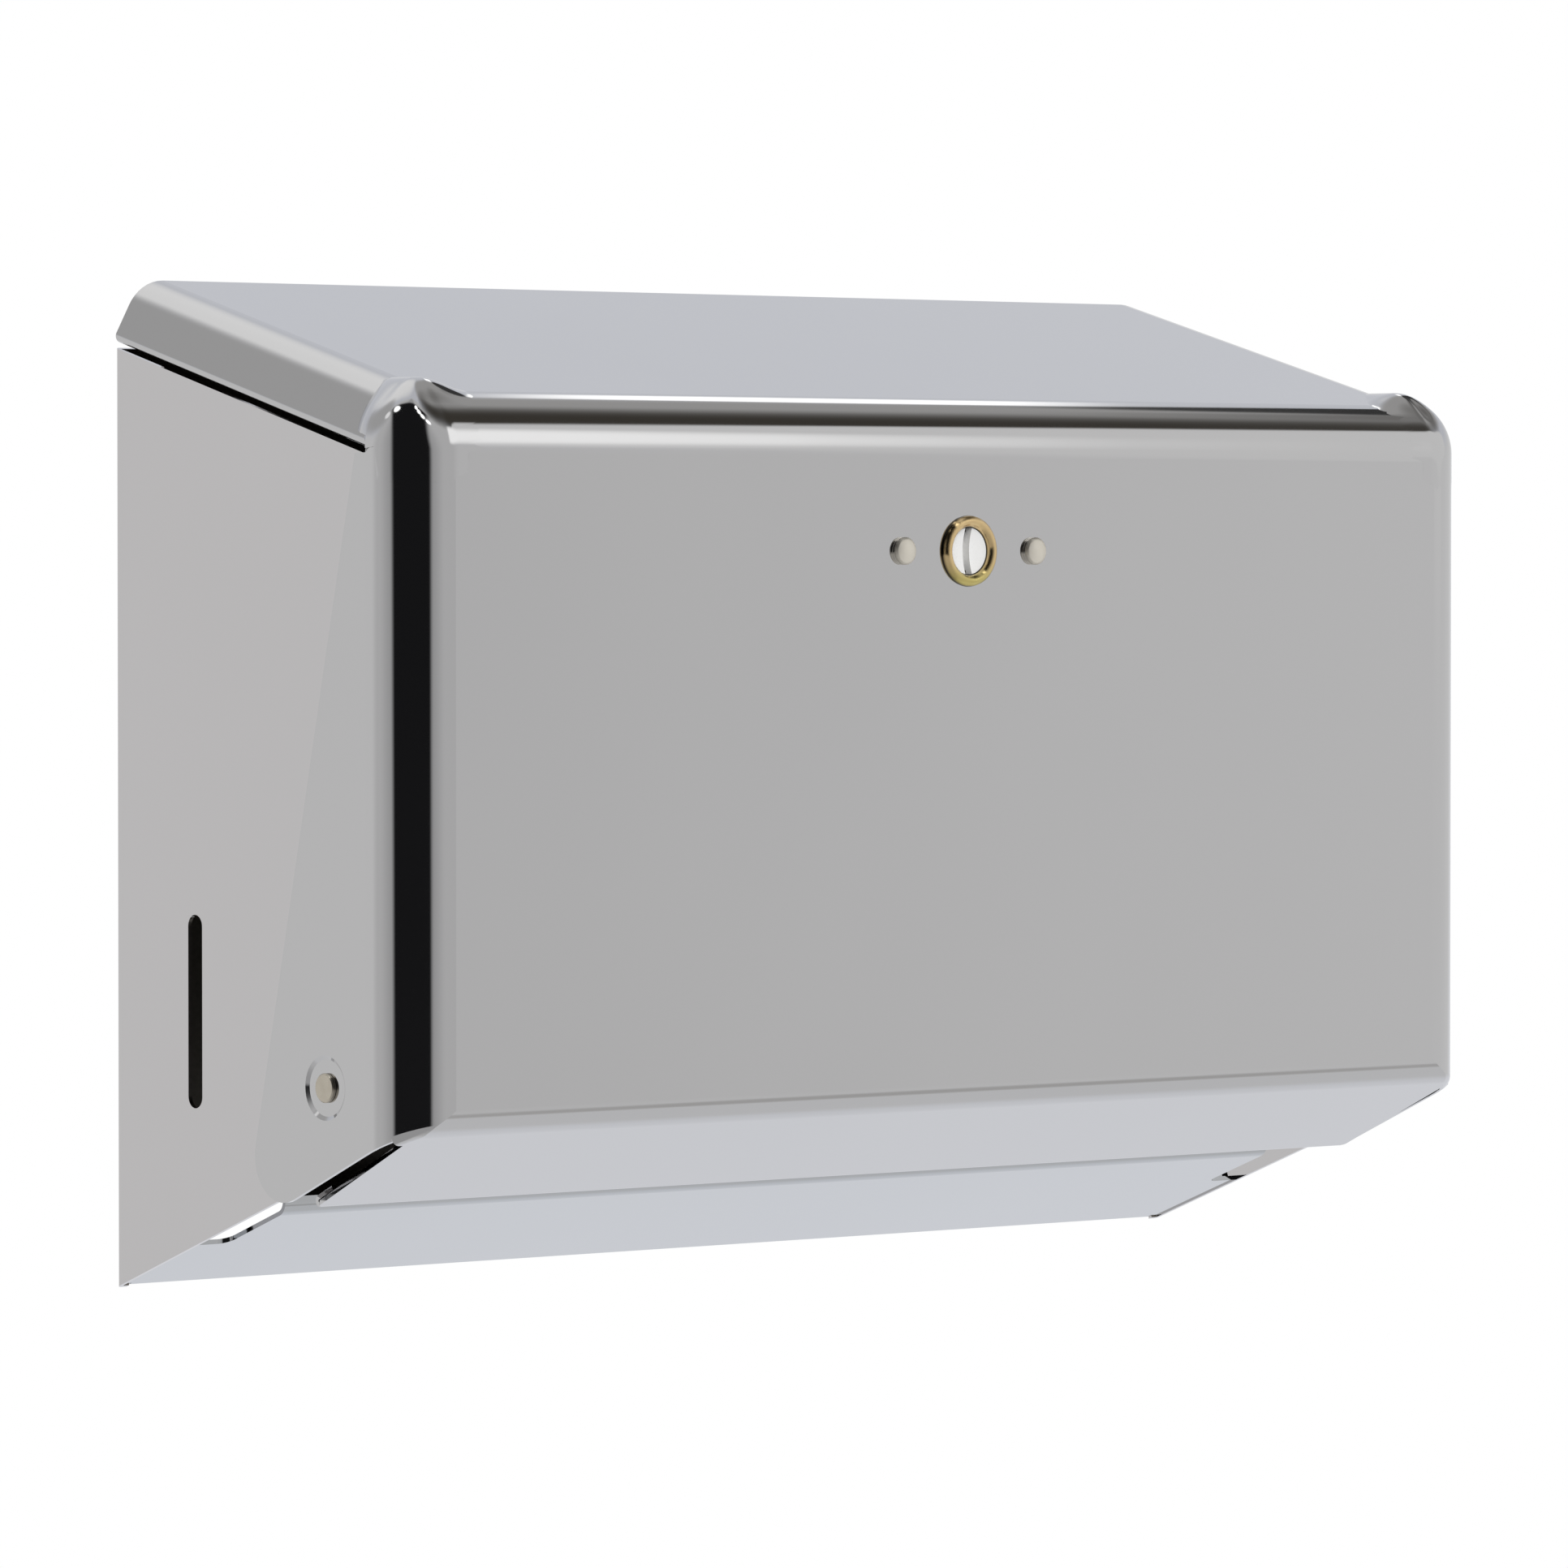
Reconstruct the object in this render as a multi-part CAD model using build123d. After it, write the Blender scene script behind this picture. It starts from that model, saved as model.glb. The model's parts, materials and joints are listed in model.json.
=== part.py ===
from build123d import *
from math import cos, radians, sin, tan
import os

# A wall-mounted dispenser for folded paper towels, pressed and folded from plated sheet steel.
# X runs to the right, Y back into the wall and Z up, in millimetres.
# Heights below are measured from the lower back edge of the cabinet, on the wall plane Y = 0.
# Every piece is moved down at the end, so that the origin is the centre of the four wall holes.

# Sheet and overall size
SHEET = 0.9
COVER_WIDTH = 295.3
COVER_HEIGHT = 206.4
COVER_DEPTH = 99.0
TOP_SLOPE = 15.0
BOTTOM_SLOPE = 20.7

# Front cover
BEND_RADIUS = 12.7
FLANGE_BEND_RADIUS = 6.0
FLANGE_CORNER_BEND_RADIUS = 2.2
FLANGE_SLOPE = 25.4
FLANGE_BELOW_SIDE = 0.7
FLANGE_LENGTH = 35.2
FLANGE_TAPER = 0.9
FLANGE_SIDE_CLEARANCE = 1.2
FLANGE_CORNER_RADIUS = 0.8
HEM_LENGTH = 5.0
HEM_INNER_RADIUS = 0.3
COVER_WALL_GAP = 0.6
TOP_EDGE_RADIUS = 10.0
TOP_EDGE_TURN = 60.0
TOP_EDGE_DROP = 10.5
TOP_EDGE_RETURN_RADIUS = 1.3
TOP_EDGE_RETURN_TURN = 115.0
TOP_EDGE_RETURN_LENGTH = 1.0
TOP_EDGE_BLEND = 4.0
TOP_EDGE_LAP = 3.0
CORNER_EXTRA_TURN = 25.0
WING_GAP = 1.4
WING_REAR_TILT = 13.3
WING_TOP_WIDTH = 16.0
WING_BELOW_SIDE = 0.8
WING_SLOPE = 23.6
WING_CORNER_RADIUS = 9.0
SLIT_FRONT_SETBACK = 6.5

# Cabinet
CABINET_BEND_RADIUS = 1.2
SIDE_UNDER_LIP = 1.2
SIDE_FRONT_SETBACK = 8.5
BACK_RISE_INSET = 1.5
BACK_TOP_CLEARANCE = 1.2
BACK_RISE_RADIUS = 6.0
BACK_CUTOUT_HEIGHT = 16.1
BACK_LEG_WIDTH = 2.5
BACK_CUTOUT_RADIUS = 6.0
SIGHT_SLOT_WIDTH = 4.7
SIGHT_SLOT_LENGTH = 39.2
SIGHT_SLOT_FROM_WALL = 27.1
SIGHT_SLOT_HEIGHT = 57.6
HOLE_CENTRE_HEIGHT = 100.0
HOLE_SPACING_X = 203.2
HOLE_SPACING_Z = 101.6
WALL_HOLE_RADIUS = 3.2

# Bottom tray
TRAY_INSET = 0.3
TOWEL_EXIT_GAP = 18.4
TRAY_LIP_HEIGHT = 3.2
TRAY_BEND_RADIUS = 3.0
TRAY_NOTCH_WIDTH = 8.0
TRAY_NOTCH_FROM_WALL = 26.0
TRAY_NOTCH_RADIUS = 2.5
TRAY_TAB_HEIGHT = 8.0
TRAY_TAB_INSET = 2.0
TRAY_WALL_GAP = 0.3
TRAY_LEG_GAP = 0.3

# Hinge
PIVOT_FROM_FRONT = 25.8
PIVOT_ABOVE_SIDE_EDGE = 16.64
DIMPLE_RADIUS = 6.5
DIMPLE_FLOOR_RADIUS = 5.7
DIMPLE_DEPTH = 0.5
HINGE_SHANK_RADIUS = 2.0
HINGE_HEAD_RADIUS = 2.95
HINGE_HEAD_HEIGHT = 0.8
HINGE_TAIL_RADIUS = 3.0
HINGE_TAIL_HEIGHT = 1.2
HINGE_RIM_CHAMFER = 0.25
HINGE_SPACER_RADIUS = 4.6
HINGE_WASHER_RADIUS = 4.5
HINGE_WASHER_THICKNESS = 0.8
RUNNING_CLEARANCE = 0.05
HINGE_END_PLAY = 0.1

# Lock
LOCK_BELOW_CORNER = 29.08
BEZEL_RADIUS = 7.4
BEZEL_HEIGHT = 1.5
BEZEL_RING_STEPS = 5
BEZEL_BORE_RADIUS = 4.93
BEZEL_BARREL_RADIUS = 5.7
BEZEL_STEP_RADIUS = 4.15
BEZEL_CLINCH_RADIUS = 6.7
BEZEL_CLINCH_THICKNESS = 0.8
PLUG_FACE_PROUD = 0.05
PLUG_CLEARANCE = 0.08
PLUG_DISH_RADIUS = 13.0
PLUG_DISH_DEPTH = 0.9
PLUG_SLOT_WIDTH = 1.8
PLUG_SLOT_DEPTH = 3.1
PLUG_SQUARE = 5.6
PLUG_TAIL = 0.65
LOCK_STACK_GAP = 0.05
SPRING_WASHER_THICKNESS = 0.7
SPRING_WASHER_RADIUS = 6.2
CAM_THICKNESS = 1.2
CAM_REACH = 17.0
CAM_HALF_WIDTH = 4.5
CAM_BOSS_RADIUS = 6.2
RETAINER_THICKNESS = 0.7
RETAINER_RADIUS = 5.2
SQUARE_CLEARANCE = 0.05
PLATE_THICKNESS = 1.0
PLATE_LENGTH = 48.0
PLATE_HEIGHT = 17.0
LOCK_RIVET_OFFSET = 18.0
LOCK_RIVET_SHANK = 1.6
LOCK_RIVET_HEAD = 2.85
LOCK_RIVET_HEAD_HEIGHT = 1.3
LOCK_RIVET_EDGE = 0.4
LOCK_RIVET_TAIL = 2.6
LOCK_RIVET_TAIL_HEIGHT = 0.9

# Tie bar
TIE_BAR_ABOVE_LOCK = 9.0
TIE_BAR_HEIGHT = 9.6
TIE_BAR_BEND_RADIUS = 10.0
TIE_BAR_TAB_LENGTH = 24.0
TIE_BAR_CAM_GAP = 0.4

# Places worked out from the sizes above
OVERRUN = 40.0
half_width = COVER_WIDTH / 2
front_y = -COVER_DEPTH
top_sin = sin(radians(TOP_SLOPE))
top_cos = cos(radians(TOP_SLOPE))
bottom_sin = sin(radians(BOTTOM_SLOPE))
bottom_cos = cos(radians(BOTTOM_SLOPE))
flange_sin = sin(radians(FLANGE_SLOPE))
flange_cos = cos(radians(FLANGE_SLOPE))
wing_inner = half_width - SHEET
side_outer = wing_inner - WING_GAP
side_inner = side_outer - SHEET
pivot_y = front_y + PIVOT_FROM_FRONT
bend_y = front_y + BEND_RADIUS


def top_height(y, inset=0.0):
    """Height of the cover's sloping top at a distance from the wall."""
    return COVER_HEIGHT + y * tan(radians(TOP_SLOPE)) - inset / top_cos


def flange_height(y, inset=0.0):
    """Height of the cover's bottom flange at a distance from the wall."""
    front_height = side_bottom(front_y) - FLANGE_BELOW_SIDE
    return front_height - (y - front_y) * tan(radians(FLANGE_SLOPE)) + inset / flange_cos


def side_bottom(y):
    """Height of the slanting bottom edge of the cabinet's sides."""
    return -y * tan(radians(BOTTOM_SLOPE))


pivot_height = side_bottom(pivot_y) + PIVOT_ABOVE_SIDE_EDGE
lock_height = top_height(front_y) - LOCK_BELOW_CORNER


def side_profile(points):
    """A closed outline drawn in the side view, as (y, z) points."""
    return Plane.YZ * make_face(Polyline(*points, close=True))


def across(points, half):
    """A side-view outline carried across the whole width."""
    return extrude(side_profile(points), half, both=True)


def both_sides(solid):
    """A solid and its mirror image on the other side."""
    return solid + mirror(solid, Plane.YZ)


def along_x(radius, x_from, x_to):
    """A cylinder on the hinge axis between two X places."""
    length = abs(x_to - x_from)
    middle = (x_from + x_to) / 2
    return Pos(middle, pivot_y, pivot_height) * Rot(0, 90, 0) * Cylinder(radius, length)


def along_y(radius, y_from, y_to, x=0.0):
    """A cylinder at lock height, through the cover's front, between two Y places."""
    length = abs(y_to - y_from)
    return Pos(x, (y_from + y_to) / 2, lock_height) * Rot(90, 0, 0) * Cylinder(radius, length)


# Front cover: the whole pressed form, as an outer and an inner block with the same bends
def cover_block(inset):
    half = half_width - inset
    front = front_y + inset
    rear = OVERRUN + inset
    outline = [
        (rear, top_height(rear, inset)),
        (front, top_height(front, inset)),
        (front, flange_height(front, inset)),
        (rear, flange_height(rear, inset)),
    ]
    block = across(outline, half)
    front_face = block.faces().sort_by(Axis.Y)[0]
    top_face = block.faces().sort_by(Axis.Z)[-1]
    sharp_low = front_face.edges().sort_by(Axis.Z)[0]
    sharp_rear = top_face.edges().sort_by(Axis.Y)[-1]
    shared = front_face.edges().sort_by(Axis.Z)[-1]
    upper = [edge for edge in front_face.edges() if not edge.is_same(sharp_low)]
    for edge in top_face.edges():
        if not edge.is_same(sharp_rear) and not edge.is_same(shared):
            upper.append(edge)
    bent = fillet(ShapeList(upper), BEND_RADIUS - inset)
    low_face = bent.faces().sort_by(Axis.Z)[0]
    low_rear = low_face.edges().sort_by(Axis.Y)[-1]
    lower = [edge for edge in low_face.edges() if not edge.is_same(low_rear)]
    bent = fillet(ShapeList(lower), FLANGE_CORNER_BEND_RADIUS - inset)
    # The flange itself is folded on a straight line, with a larger radius than at the corners
    return bent & fillet(sharp_low, FLANGE_BEND_RADIUS - inset)


flange_rear_y = front_y + FLANGE_LENGTH
flange_front_half = side_inner - FLANGE_SIDE_CLEARANCE
flange_rear_half = flange_front_half - FLANGE_TAPER
slit_front_y = front_y + SLIT_FRONT_SETBACK
slit_top = flange_height(slit_front_y) + 2 * FLANGE_CORNER_BEND_RADIUS
corner_z = top_height(bend_y) - BEND_RADIUS / top_cos
top_edge_reach = TOP_EDGE_DROP / tan(radians(TOP_EDGE_TURN))
top_edge_tangent = TOP_EDGE_RADIUS * tan(radians(TOP_EDGE_TURN / 2))
top_flat_half = side_outer - top_edge_reach - top_edge_tangent
wing_top_y = bend_y - BEND_RADIUS + WING_TOP_WIDTH


def wing_rear(z):
    """Rear edge of the cover's side wing at a height."""
    return wing_top_y + (corner_z - z) * tan(radians(WING_REAR_TILT))


def wing_bottom(y):
    """Lower edge of the cover's side wing at a distance from the wall."""
    front_height = side_bottom(bend_y) - WING_BELOW_SIDE
    return front_height - (y - bend_y) * tan(radians(WING_SLOPE))


def front_region():
    """All of the pressed form that lies in front of the vertical bends' rear ends."""
    rise = COVER_HEIGHT
    return across(
        [
            (front_y - OVERRUN, -OVERRUN),
            (bend_y, -OVERRUN),
            (bend_y, corner_z),
            (bend_y - rise * top_sin, corner_z + rise * top_cos),
            (front_y - OVERRUN, corner_z + rise),
        ],
        half_width + OVERRUN,
    )


def flat_top_region():
    """The flat middle of the top, back to the wall."""
    return across(
        [
            (front_y, corner_z),
            (-COVER_WALL_GAP, corner_z),
            (-COVER_WALL_GAP, COVER_HEIGHT + OVERRUN),
            (front_y, COVER_HEIGHT + OVERRUN),
        ],
        top_flat_half,
    )


def flange_region():
    """Plan outline of the bottom flange, narrower towards the rear."""
    outline = Polyline(
        (-flange_front_half, front_y),
        (flange_front_half, front_y),
        (flange_front_half, slit_front_y),
        (flange_rear_half, flange_rear_y),
        (-flange_rear_half, flange_rear_y),
        (-flange_front_half, slit_front_y),
        close=True,
    )
    prism = extrude(Pos(0, 0, -OVERRUN) * make_face(outline), OVERRUN + pivot_height)
    corners = prism.edges().filter_by(Axis.Z).group_by(Axis.Y)[-1]
    return fillet(corners, FLANGE_CORNER_RADIUS)


def slit():
    """Space on one side between the flange and the wing, where the cabinet's side passes."""
    outline = Polyline(
        (flange_front_half, slit_front_y),
        (half_width + OVERRUN, slit_front_y),
        (half_width + OVERRUN, 0),
        (flange_rear_half, 0),
        (flange_rear_half, flange_rear_y),
        close=True,
    )
    return extrude(Pos(0, 0, -OVERRUN) * make_face(outline), OVERRUN + slit_top)


def upright_block(inset):
    """The cover's upright walls and vertical bends, without a top or a flange."""
    front = front_y + inset
    block = Pos(0, front / 2, 0) * Box(2 * (half_width - inset), -front, 2 * slit_top)
    front_edges = block.edges().filter_by(Axis.Z).group_by(Axis.Y)[0]
    return fillet(front_edges, BEND_RADIUS - inset)


def corner_walls():
    """Upright rear parts of both vertical bends above the slits, cut on the line of the wings' lower edges."""
    outline = [
        (slit_front_y, wing_bottom(slit_front_y)),
        (bend_y, wing_bottom(bend_y)),
        (bend_y, slit_top),
        (slit_front_y, slit_top),
    ]
    return (upright_block(0) - upright_block(SHEET)) & across(outline, half_width + OVERRUN)


def top_edge_plane(distance):
    """Plane square to the top's slope, at a distance along the slope from the wall."""
    origin = (0, -distance * top_cos, COVER_HEIGHT - distance * top_sin)
    return Plane(origin=origin, x_dir=(1, 0, 0), z_dir=(0, -top_cos, -top_sin))


def edge_section(flat_end, radius, last_turn):
    """Section of the top's side bend: flat, bend, then a straight facet or more of the bend."""
    turn = radians(TOP_EDGE_TURN)
    flat_start = flat_end - TOP_EDGE_LAP

    def bend(offset, angle):
        reach = radius - offset
        return (flat_end + reach * sin(angle), -radius + reach * cos(angle))

    def last(offset):
        if last_turn:
            end_angle = turn + radians(last_turn)
            middle_angle = turn + radians(last_turn / 2)
            return ThreePointArc(bend(offset, turn), bend(offset, middle_angle), bend(offset, end_angle))
        length = facet_length
        start = Vector(*bend(offset, turn))
        return Line(start, start + Vector(cos(turn), -sin(turn)) * length)

    def bent(offset):
        return ThreePointArc(bend(offset, 0), bend(offset, turn / 2), bend(offset, turn))

    outer = [Line((flat_start, 0), bend(0, 0)), bent(0), last(0)]
    inner = [Line((flat_start, -SHEET), bend(SHEET, 0)), bent(SHEET), last(SHEET)]
    ends = [Line(outer[0] @ 0, inner[0] @ 0), Line(outer[2] @ 1, inner[2] @ 1)]
    return make_face(outer + inner + ends)


facet_top_drop = TOP_EDGE_RADIUS * (1 - cos(radians(TOP_EDGE_TURN)))
facet_length = (TOP_EDGE_DROP - facet_top_drop) / sin(radians(TOP_EDGE_TURN))
blend_front = (-bend_y + BEND_RADIUS * top_sin) / top_cos
blend_rear = blend_front - TOP_EDGE_BLEND
slope_down = Vector(0, -top_cos, -top_sin)


def return_section():
    """Section of the small inward roll that ends the facet."""
    turn = radians(TOP_EDGE_TURN)
    end_x = top_flat_half + TOP_EDGE_RADIUS * sin(turn) + facet_length * cos(turn)
    end_y = -TOP_EDGE_DROP
    centre = Vector(end_x, end_y) - Vector(sin(turn), cos(turn)) * TOP_EDGE_RETURN_RADIUS
    roll = radians(TOP_EDGE_RETURN_TURN)

    def point(radius, angle):
        return centre + Vector(sin(turn + angle), cos(turn + angle)) * radius

    inner_radius = TOP_EDGE_RETURN_RADIUS - SHEET
    heading = Vector(cos(turn + roll), -sin(turn + roll)) * TOP_EDGE_RETURN_LENGTH
    outer = ThreePointArc(
        point(TOP_EDGE_RETURN_RADIUS, 0),
        point(TOP_EDGE_RETURN_RADIUS, roll / 2),
        point(TOP_EDGE_RETURN_RADIUS, roll),
    )
    inner = ThreePointArc(point(inner_radius, 0), point(inner_radius, roll / 2), point(inner_radius, roll))
    tip = Polyline(outer @ 1, (outer @ 1) + heading, (inner @ 1) + heading, inner @ 1)
    return make_face([outer, inner, *tip.edges(), Line(outer @ 0, inner @ 0)])


def top_side_edge():
    """The right-hand edge of the top: bend, facet, roll, and the blend into the drawn front corner."""
    rear = top_edge_plane(-OVERRUN)
    length = blend_rear + OVERRUN
    facet = edge_section(top_flat_half, TOP_EDGE_RADIUS, 0)
    strip = extrude(rear * facet, length, dir=slope_down)
    strip += extrude(rear * return_section(), length + TOP_EDGE_BLEND / 2, dir=slope_down)
    corner = edge_section(half_width - BEND_RADIUS, BEND_RADIUS, CORNER_EXTRA_TURN)
    blend = loft([top_edge_plane(blend_rear) * facet, top_edge_plane(blend_front) * corner], ruled=True)
    behind_wall = Pos(0, OVERRUN - COVER_WALL_GAP, COVER_HEIGHT) * Box(
        2 * COVER_WIDTH, 2 * OVERRUN, 4 * OVERRUN
    )
    return strip - behind_wall + blend


def wing():
    """Flat right-hand side wing behind the vertical bend, with a rounded lower rear corner."""
    low_z = corner_z
    for _ in range(20):
        low_z = wing_bottom(wing_rear(low_z))
    outline = [
        (bend_y, wing_bottom(bend_y)),
        (wing_rear(low_z), low_z),
        (wing_rear(corner_z), corner_z),
        (bend_y, corner_z),
    ]
    plate = extrude(Pos(wing_inner, 0, 0) * side_profile(outline), SHEET)
    corner = plate.edges().filter_by(Axis.X).sort_by(Axis.Y)[-1]
    return fillet(corner, WING_CORNER_RADIUS)


def dimple():
    """Shallow flat-floored recess pressed into the right-hand wing around the hinge rivet."""
    floor_outer = half_width - DIMPLE_DEPTH
    outline = Polyline(
        (half_width, DIMPLE_RADIUS + SHEET),
        (half_width, DIMPLE_RADIUS),
        (floor_outer, DIMPLE_FLOOR_RADIUS),
        (floor_outer, HINGE_SHANK_RADIUS + RUNNING_CLEARANCE),
        (floor_outer - SHEET, HINGE_SHANK_RADIUS + RUNNING_CLEARANCE),
        (floor_outer - SHEET, DIMPLE_FLOOR_RADIUS + SHEET / 2),
        (wing_inner, DIMPLE_RADIUS + SHEET / 2),
        (wing_inner, DIMPLE_RADIUS + SHEET),
        close=True,
    )
    return Pos(0, pivot_y, pivot_height) * revolve(make_face(outline), Axis.X)


def flange_hem():
    """Rear edge of the flange, folded up and forwards onto itself."""
    edge_y = flange_rear_y
    edge_z = flange_height(edge_y)
    back = Vector(edge_y, edge_z)
    rearward = Vector(flange_cos, -flange_sin)
    upward = Vector(flange_sin, flange_cos)
    outer_radius = HEM_INNER_RADIUS + SHEET

    def arc(radius):
        centre = back + upward * outer_radius
        low = centre - upward * radius
        far = centre + rearward * radius
        high = centre + upward * radius
        return ThreePointArc(low, far, high)

    outer = arc(outer_radius)
    inner = arc(HEM_INNER_RADIUS)
    lap = rearward * HEM_LENGTH
    lead = rearward * SHEET
    tip = Polyline(outer @ 1, (outer @ 1) - lap, (inner @ 1) - lap, inner @ 1)
    root = Polyline(outer @ 0, (outer @ 0) - lead, (inner @ 0) - lead, inner @ 0)
    section = make_face([outer, inner, *tip.edges(), *root.edges()])
    hem_half = flange_rear_half - FLANGE_CORNER_RADIUS
    return extrude(Plane.YZ * section, hem_half, both=True)


def front_cover():
    pressed = cover_block(0) - cover_block(SHEET)
    region = front_region() + flat_top_region() + flange_region()
    cover = pressed & region
    cover -= both_sides(slit())
    cover += corner_walls()
    cover += both_sides(top_side_edge())
    dimple_hole = along_x(DIMPLE_RADIUS + SHEET / 2, half_width + 1, wing_inner - 1)
    cover += both_sides(wing() - dimple_hole + dimple())
    cover += flange_hem()
    cover -= along_y(BEZEL_BARREL_RADIUS + RUNNING_CLEARANCE, front_y - 1, front_y + SHEET + 1)
    for x in (-LOCK_RIVET_OFFSET, LOCK_RIVET_OFFSET):
        cover -= along_y(LOCK_RIVET_SHANK + RUNNING_CLEARANCE, front_y - 1, front_y + SHEET + 1, x)
    return cover


# Cabinet: one sheet folded into a back and two sides
side_front_y = front_y + SIDE_FRONT_SETBACK


def lip_bottom():
    """How far the rolled lip reaches below the top, square to the slope."""
    turn = radians(TOP_EDGE_TURN)
    return TOP_EDGE_DROP + TOP_EDGE_RETURN_RADIUS * (1 + cos(turn))


def side_top(y):
    """Height of the top edge of the cabinet's sides."""
    return top_height(y, lip_bottom()) - SIDE_UNDER_LIP


def back_rise():
    """Upper strip of the back, between the cover's side lips and up to just under its top."""
    top = top_height(-SHEET, SHEET) - BACK_TOP_CLEARANCE
    low = side_top(0) - SHEET
    strip = Pos(0, -SHEET / 2, (low + top) / 2) * Box(2 * (top_flat_half - BACK_RISE_INSET), SHEET, top - low)
    corners = strip.edges().filter_by(Axis.Y).group_by(Axis.Z)[-1]
    return fillet(corners, BACK_RISE_RADIUS)


def cabinet_shell():
    outer = Pos(0, front_y / 2, COVER_HEIGHT / 2) * Box(2 * side_outer, COVER_DEPTH, 2 * COVER_HEIGHT)
    back_edges = outer.edges().filter_by(Axis.Z).group_by(Axis.Y)[-1]
    outer = fillet(back_edges, CABINET_BEND_RADIUS)
    inner = Pos(0, front_y / 2 - SHEET, COVER_HEIGHT / 2) * Box(2 * side_inner, COVER_DEPTH, 2 * COVER_HEIGHT)
    back_edges = inner.edges().filter_by(Axis.Z).group_by(Axis.Y)[-1]
    inner = fillet(back_edges, CABINET_BEND_RADIUS - SHEET)
    side_outline = across(
        [
            (0, 0),
            (0, side_top(0)),
            (side_front_y, side_top(side_front_y)),
            (side_front_y, pivot_height),
            (side_front_y, side_bottom(side_front_y)),
        ],
        COVER_WIDTH,
    )
    shell = (outer - inner) & side_outline
    shell += back_rise()
    # The lower front corners are rounded about the hinge, to let the cover's corners swing past
    swing_radius = pivot_y - side_front_y
    corner_block = across(
        [
            (side_front_y - 1, -OVERRUN),
            (pivot_y, -OVERRUN),
            (pivot_y, pivot_height),
            (side_front_y - 1, pivot_height),
        ],
        COVER_WIDTH,
    )
    shell -= corner_block - along_x(swing_radius, -COVER_WIDTH, COVER_WIDTH)
    # The back stops short above the tray, between two legs
    cutout_half = side_outer - BACK_LEG_WIDTH
    cutout = Box(2 * cutout_half, 4 * CABINET_BEND_RADIUS, 2 * BACK_CUTOUT_HEIGHT)
    upper_corners = cutout.edges().filter_by(Axis.Y).group_by(Axis.Z)[-1]
    shell -= fillet(upper_corners, BACK_CUTOUT_RADIUS)
    sight = SlotOverall(SIGHT_SLOT_LENGTH, SIGHT_SLOT_WIDTH, rotation=90)
    sight = Plane.YZ * (Pos(-SIGHT_SLOT_FROM_WALL, SIGHT_SLOT_HEIGHT) * sight)
    shell -= extrude(sight, COVER_WIDTH, both=True)
    shell -= along_x(HINGE_SHANK_RADIUS + RUNNING_CLEARANCE, -COVER_WIDTH, COVER_WIDTH)
    for x in (-HOLE_SPACING_X / 2, HOLE_SPACING_X / 2):
        for z in (-HOLE_SPACING_Z / 2, HOLE_SPACING_Z / 2):
            place = Pos(x, 0, HOLE_CENTRE_HEIGHT + z) * Rot(90, 0, 0)
            shell -= place * Cylinder(WALL_HOLE_RADIUS, 4 * SHEET)
    return shell


# Bottom tray: a slanting sheet between the sides, with an upturned front lip and end tabs
def bottom_tray():
    def along(distance, height):
        """A point at a distance forwards along the tray's lower face and a height above it."""
        y = -distance * bottom_cos + height * bottom_sin
        z = TRAY_INSET + distance * bottom_sin + height * bottom_cos
        return (y, z)

    front = (COVER_DEPTH - FLANGE_LENGTH - TOWEL_EXIT_GAP) / bottom_cos
    rear = TRAY_WALL_GAP / bottom_cos + SHEET * bottom_sin / bottom_cos
    turn = radians(90 - BOTTOM_SLOPE)
    outer_radius = TRAY_BEND_RADIUS
    inner_radius = TRAY_BEND_RADIUS - SHEET
    bend_start = front - outer_radius * tan(turn / 2)

    def bend(radius, angle):
        return along(bend_start + radius * sin(angle), outer_radius - radius * cos(angle))

    def lip(radius):
        return (bend(radius, turn)[0], along(front, 0)[1] + TRAY_LIP_HEIGHT)

    outer_arc = ThreePointArc(bend(outer_radius, 0), bend(outer_radius, turn / 2), bend(outer_radius, turn))
    inner_arc = ThreePointArc(bend(inner_radius, 0), bend(inner_radius, turn / 2), bend(inner_radius, turn))
    edges = [
        Line(along(rear, 0), outer_arc @ 0),
        outer_arc,
        Line(outer_arc @ 1, lip(outer_radius)),
        Line(lip(outer_radius), lip(inner_radius)),
        Line(lip(inner_radius), inner_arc @ 1),
        inner_arc,
        Line(inner_arc @ 0, along(rear, SHEET)),
        Line(along(rear, SHEET), along(rear, 0)),
    ]
    tray = extrude(Plane.YZ * make_face(edges), side_inner, both=True)
    notch_outline = Polyline(
        (side_inner - TRAY_NOTCH_WIDTH, -COVER_DEPTH),
        (side_inner - TRAY_NOTCH_WIDTH, -TRAY_NOTCH_FROM_WALL),
        (side_inner + 1, -TRAY_NOTCH_FROM_WALL),
        (side_inner + 1, -COVER_DEPTH),
        close=True,
    )
    notch = extrude(make_face(notch_outline), COVER_HEIGHT, both=True)
    notch_corner = notch.edges().filter_by(Axis.Z).group_by(Axis.Y)[-1].sort_by(Axis.X)[0]
    tray -= both_sides(fillet(notch_corner, TRAY_NOTCH_RADIUS))
    relief_x = side_outer - BACK_LEG_WIDTH - TRAY_LEG_GAP
    relief_y = CABINET_BEND_RADIUS + TRAY_LEG_GAP
    tray -= both_sides(Pos(relief_x + COVER_WIDTH / 2, 0, 0) * Box(COVER_WIDTH, 2 * relief_y, COVER_HEIGHT))
    tab_front = (TRAY_NOTCH_FROM_WALL - TRAY_TAB_INSET) / bottom_cos
    tab_rear = rear + TRAY_TAB_INSET
    tab_outline = [
        along(tab_rear, SHEET / 2),
        along(tab_front, SHEET / 2),
        along(tab_front, TRAY_TAB_HEIGHT),
        along(tab_rear + TRAY_TAB_HEIGHT / 2, TRAY_TAB_HEIGHT),
    ]
    tab = extrude(Pos(side_inner - SHEET, 0, 0) * side_profile(tab_outline), SHEET)
    return tray + both_sides(tab)


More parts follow.
